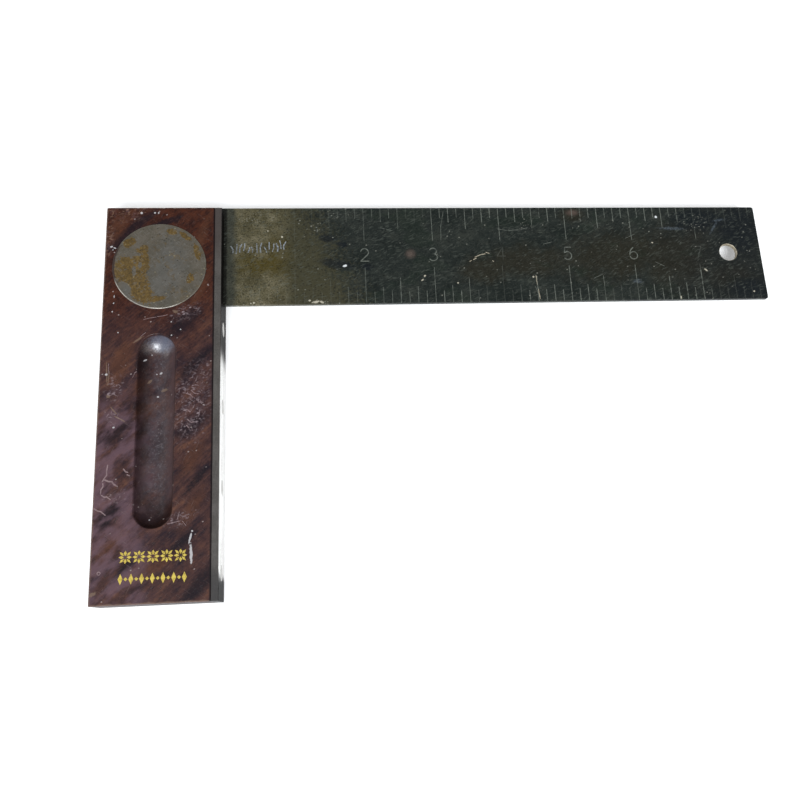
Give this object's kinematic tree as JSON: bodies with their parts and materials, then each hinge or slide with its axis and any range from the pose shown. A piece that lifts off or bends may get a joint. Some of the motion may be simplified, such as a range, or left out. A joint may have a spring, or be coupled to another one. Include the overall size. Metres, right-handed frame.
{
  "type": "try square",
  "caption": "Try square with a dark hardwood stock, metal facing strip, round inlaid plates, a finger groove on each face and a graduated steel blade with a hanging hole.",
  "frame": {"origin": "centre of the stock's working face below the blade, half way through the thickness", "axes": "+X leaves the working face along the blade, +Y runs along the stock from its foot towards the blade, +Z is square to the blade and leaves the graduated face"},
  "size_m": [0.2427, 0.1403, 0.0154],
  "materials": {
    "rosewood": "dark reddish-brown rosewood with near-black streaks under worn lacquer, scratched and specked",
    "blade_steel": "dark grey-green patina with brown stains, fine scratches and pale worn graduations",
    "facing_steel": "dull grey, worn and lightly stained",
    "plate_steel": "satin grey with patches of old amber lacquer",
    "rivet_steel": "filed flush with the plates",
    "pin_steel": "filed flush with the facing strip",
    "gold_foil": "thin stamped foil ornament on the front of the stock, rubbed; only the visual model has it"
  },
  "bodies": {
    "root": {"stock": "rosewood", "blade": "blade_steel", "facing_strip": "facing_steel", "front_plate": "plate_steel", "rear_plate": "plate_steel", "blade_rivet_1": "rivet_steel", "blade_rivet_2": "rivet_steel", "blade_rivet_3": "rivet_steel", "facing_pin_1": "pin_steel", "facing_pin_2": "pin_steel", "facing_pin_3": "pin_steel", "facing_pin_4": "pin_steel"}
  },
  "joints": []
}
